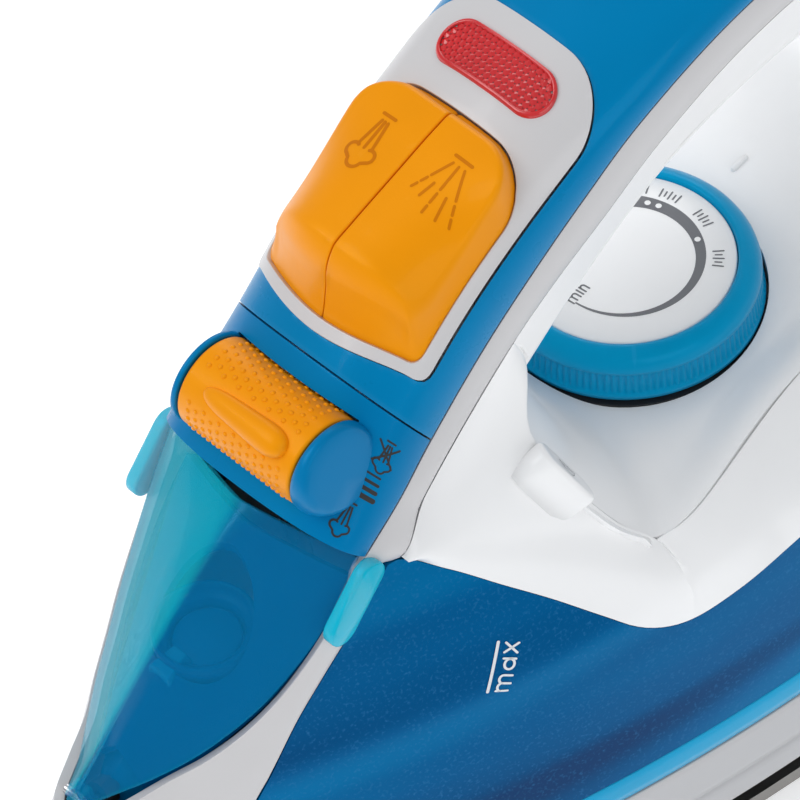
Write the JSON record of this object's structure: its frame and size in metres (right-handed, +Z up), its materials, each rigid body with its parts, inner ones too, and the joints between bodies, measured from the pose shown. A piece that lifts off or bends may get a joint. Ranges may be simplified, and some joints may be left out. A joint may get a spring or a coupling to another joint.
{
  "type": "steam iron",
  "caption": "Steam iron with a clear hinged filler cap, thumb roller, two sprung buttons, temperature dial, side tank, closed handle and heel rest.",
  "frame": {"origin": "on the table, under the middle of the bounding box, with the soleplate flat", "axes": "+Z up, tip towards -X, heel towards +X, the iron's left side towards -Y"},
  "size_m": [0.2691, 0.1174, 0.1578],
  "materials": {
    "sole_metal": "burnished, satin",
    "cast_aluminium": "as cast, matte",
    "element_steel": "dull, heat darkened",
    "silicone_seal": "matte",
    "grey_plastic": "semi gloss",
    "white_plastic": "semi gloss",
    "blue_plastic": "high gloss",
    "cyan_band": "high gloss",
    "tank_plastic": "clear blue with fine sparkle, over a darker inner wall",
    "cap_plastic": "clear cyan, high gloss",
    "orange_plastic": "satin with fine grain",
    "red_lens": "clear red, faceted",
    "lamp_glass": "clear",
    "inner_plastic": "natural, matte",
    "dark_plastic": "matte",
    "foot_rubber": "matte",
    "brass": "machined",
    "steel": "bright",
    "ceramic": "unglazed ceramic"
  },
  "bodies": {
    "housing": {"soleplate": "sole_metal", "heater_casting": "cast_aluminium", "heating_element": "element_steel", "chamber_gasket": "silicone_seal", "chamber_cover": "cast_aluminium", "lower_skirt": "grey_plastic", "tank_band": "cyan_band", "tank_floor": "inner_plastic", "water_tank": "tank_plastic", "tank_lid": "inner_plastic", "valve_seat": "brass", "nose_trim": "grey_plastic", "body_shell_left": "white_plastic", "body_shell_right": "white_plastic", "deck_panel": "white_plastic", "handle_underside": "white_plastic", "filler_bed": "blue_plastic", "filler_neck": "blue_plastic", "spray_nozzle": "dark_plastic", "cap_pin": "steel", "control_panel": "blue_plastic", "roller_cradle": "dark_plastic", "button_bezel": "grey_plastic", "indicator_lens": "red_lens", "indicator_lamp": "lamp_glass", "steam_pump": "inner_plastic", "spray_pump": "inner_plastic", "steam_spring": "steel", "spray_spring": "steel", "handle_cover": "blue_plastic", "dial_bracket": "dark_plastic", "thermostat_body": "ceramic", "self_clean_guide": "dark_plastic", "self_clean_spring": "steel", "rear_cover": "grey_plastic", "heel_feet": "foot_rubber", "cover_screws": "steel", "terminal_block": "inner_plastic", "gland_collar": "dark_plastic"},
    "cap": {"filler_cap": "cap_plastic", "cap_ears": "cap_plastic", "cap_knuckle": "cap_plastic"},
    "roller": {"steam_roller": "orange_plastic", "roller_axle": "steel"},
    "needle": {"valve_needle": "steel"},
    "steam_key": {"steam_button": "orange_plastic", "steam_plunger": "inner_plastic"},
    "spray_key": {"spray_button": "orange_plastic", "spray_plunger": "inner_plastic"},
    "dial": {"dial_ring": "blue_plastic", "dial_face": "white_plastic", "dial_shaft": "steel"},
    "self_clean": {"self_clean_button": "white_plastic"},
    "gland": {"cord_gland": "dark_plastic"}
  },
  "joints": [
    {"name": "cap_hinge", "type": "hinge", "parent": "housing", "child": "cap", "pos_m": [-0.1086, 0, 0.0688], "axis": [0, 1, 0], "range_deg": [-60, 0]},
    {"name": "steam_roller_spin", "type": "hinge", "parent": "housing", "child": "roller", "pos_m": [-0.0551, 0, 0.1184], "axis": [0, 1, 0], "range_deg": [-25, 25]},
    {"name": "needle_slide", "type": "slide", "parent": "housing", "child": "needle", "axis": [0, 0, 1], "range_m": [-0.001, 0.001]},
    {"name": "steam_press", "type": "slide", "parent": "housing", "child": "steam_key", "axis": [0, 0, -1], "range_m": [0, 0.005], "stiffness_N_per_m": 500, "springref_m": -0.003, "deforming": ["steam_spring"]},
    {"name": "spray_press", "type": "slide", "parent": "housing", "child": "spray_key", "axis": [0, 0, -1], "range_m": [0, 0.005], "stiffness_N_per_m": 500, "springref_m": -0.003, "deforming": ["spray_spring"]},
    {"name": "dial_turn", "type": "hinge", "parent": "housing", "child": "dial", "pos_m": [0.0229, 0, 0.082], "axis": [0.1045, 0, 0.9945], "range_deg": [-95, 200]},
    {"name": "self_clean_press", "type": "slide", "parent": "housing", "child": "self_clean", "axis": [-0.8613, 0.3117, -0.4014], "range_m": [0, 0.003], "stiffness_N_per_m": 400, "springref_m": -0.002, "deforming": ["self_clean_spring"]},
    {"name": "gland_swivel", "type": "hinge", "parent": "housing", "child": "gland", "pos_m": [0.11989, 0, 0.12909], "axis": [0.5878, 0, 0.809], "range_deg": [-170, 170]}
  ],
  "couplings": [
    {"joint": "steam_roller_spin", "follows": "needle_slide", "rad_per_m": 436.33}
  ]
}
